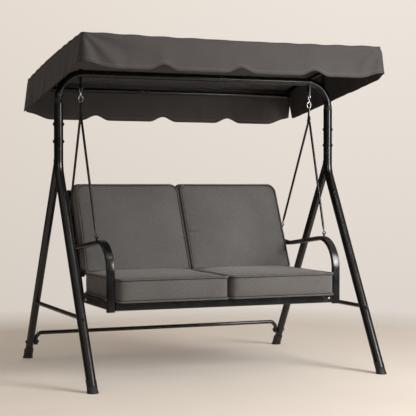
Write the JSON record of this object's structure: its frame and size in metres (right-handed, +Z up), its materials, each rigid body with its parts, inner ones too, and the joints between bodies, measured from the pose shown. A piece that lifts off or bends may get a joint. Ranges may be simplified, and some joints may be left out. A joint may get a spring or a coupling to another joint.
{
  "type": "canopy swing bench",
  "caption": "Garden swing bench: a cushioned seat hung on rods and swivel hooks from a bent-tube stand, under a fabric canopy that tilts.",
  "frame": {"origin": "on the ground, midway between the four feet and midway between the two sides", "axes": "+Z up, +X towards the sitter's left, and the bench faces -Y"},
  "size_m": [1.596, 1.273, 1.6324],
  "materials": {
    "frame_black": "satin powder coat",
    "plastic_black": "matte",
    "zinc_plate": "bright zinc plate",
    "cushion_fabric": "fine canvas weave",
    "canopy_fabric": "coated polyester weave",
    "webbing": "woven belt"
  },
  "bodies": {
    "stand": {"top_bar": "frame_black", "rear_stretcher": "frame_black", "front_leg_left": "frame_black", "front_leg_right": "frame_black", "rear_leg_left": "frame_black", "rear_leg_right": "frame_black", "foot_cap_front_left": "plastic_black", "foot_cap_front_right": "plastic_black", "foot_cap_rear_left": "plastic_black", "foot_cap_rear_right": "plastic_black", "post_bolt_upper_left": "frame_black", "post_bolt_upper_right": "frame_black", "post_bolt_lower_left": "frame_black", "post_bolt_lower_right": "frame_black", "brace_bolt_front_left": "frame_black", "brace_bolt_front_right": "frame_black", "brace_bolt_rear_left": "frame_black", "brace_bolt_rear_right": "frame_black", "stretcher_bolt_left": "frame_black", "stretcher_bolt_right": "frame_black", "post_collar_left": "plastic_black", "post_collar_right": "plastic_black", "side_brace_left": "frame_black", "side_brace_right": "frame_black", "hanger_bracket_left": "frame_black", "hanger_bracket_right": "frame_black", "canopy_bracket_left": "frame_black", "canopy_bracket_right": "frame_black"},
    "canopy": {"canopy_cover": "canopy_fabric", "canopy_front_bar": "frame_black", "canopy_rear_bar": "frame_black", "canopy_arm_left": "frame_black", "canopy_arm_right": "frame_black", "canopy_pivot_bolt_left": "zinc_plate", "canopy_pivot_bolt_right": "zinc_plate"},
    "knob_left": {"canopy_knob_left": "plastic_black"},
    "knob_right": {"canopy_knob_right": "plastic_black"},
    "hook_left": {"hanger_hook_left": "zinc_plate"},
    "hook_right": {"hanger_hook_right": "zinc_plate"},
    "seat": {"front_rail": "frame_black", "rear_rail": "frame_black", "back_top_rail": "frame_black", "seat_grid": "frame_black", "back_webbing": "webbing", "hanger_yoke_left": "frame_black", "hanger_yoke_right": "frame_black", "hanger_rod_front_left": "frame_black", "hanger_rod_front_right": "frame_black", "hanger_rod_rear_left": "frame_black", "hanger_rod_rear_right": "frame_black", "armrest_left": "frame_black", "armrest_right": "frame_black", "side_rail_left": "frame_black", "side_rail_right": "frame_black", "back_upright_left": "frame_black", "back_upright_right": "frame_black", "seat_cushion_left": "cushion_fabric", "seat_cushion_right": "cushion_fabric", "back_cushion_left": "cushion_fabric", "back_cushion_right": "cushion_fabric"}
  },
  "joints": [
    {"name": "canopy_tilt", "type": "hinge", "parent": "stand", "child": "canopy", "pos_m": [0, -0.0355, 1.558], "axis": [1, 0, 0], "range_deg": [-12, 12]},
    {"name": "knob_turn_left", "type": "hinge", "parent": "canopy", "child": "knob_left", "pos_m": [-0.7047, -0.0355, 1.558], "axis": [1, 0, 0], "continuous": true},
    {"name": "knob_turn_right", "type": "hinge", "parent": "canopy", "child": "knob_right", "pos_m": [0.7047, -0.0355, 1.558], "axis": [1, 0, 0], "continuous": true},
    {"name": "hook_swing_left", "type": "hinge", "parent": "stand", "child": "hook_left", "pos_m": [-0.634, -0.0355, 1.416], "axis": [1, 0, 0], "range_deg": [-15, 15]},
    {"name": "hook_swing_right", "type": "hinge", "parent": "stand", "child": "hook_right", "pos_m": [0.634, -0.0355, 1.416], "axis": [1, 0, 0], "range_deg": [-15, 15]},
    {"name": "seat_tilt", "type": "hinge", "parent": "hook_left", "child": "seat", "pos_m": [0, -0.0355, 1.3525], "axis": [1, 0, 0], "range_deg": [-5, 5]}
  ],
  "couplings": [
    {"joint": "hook_swing_right", "follows": "hook_swing_left", "ratio": 1}
  ]
}
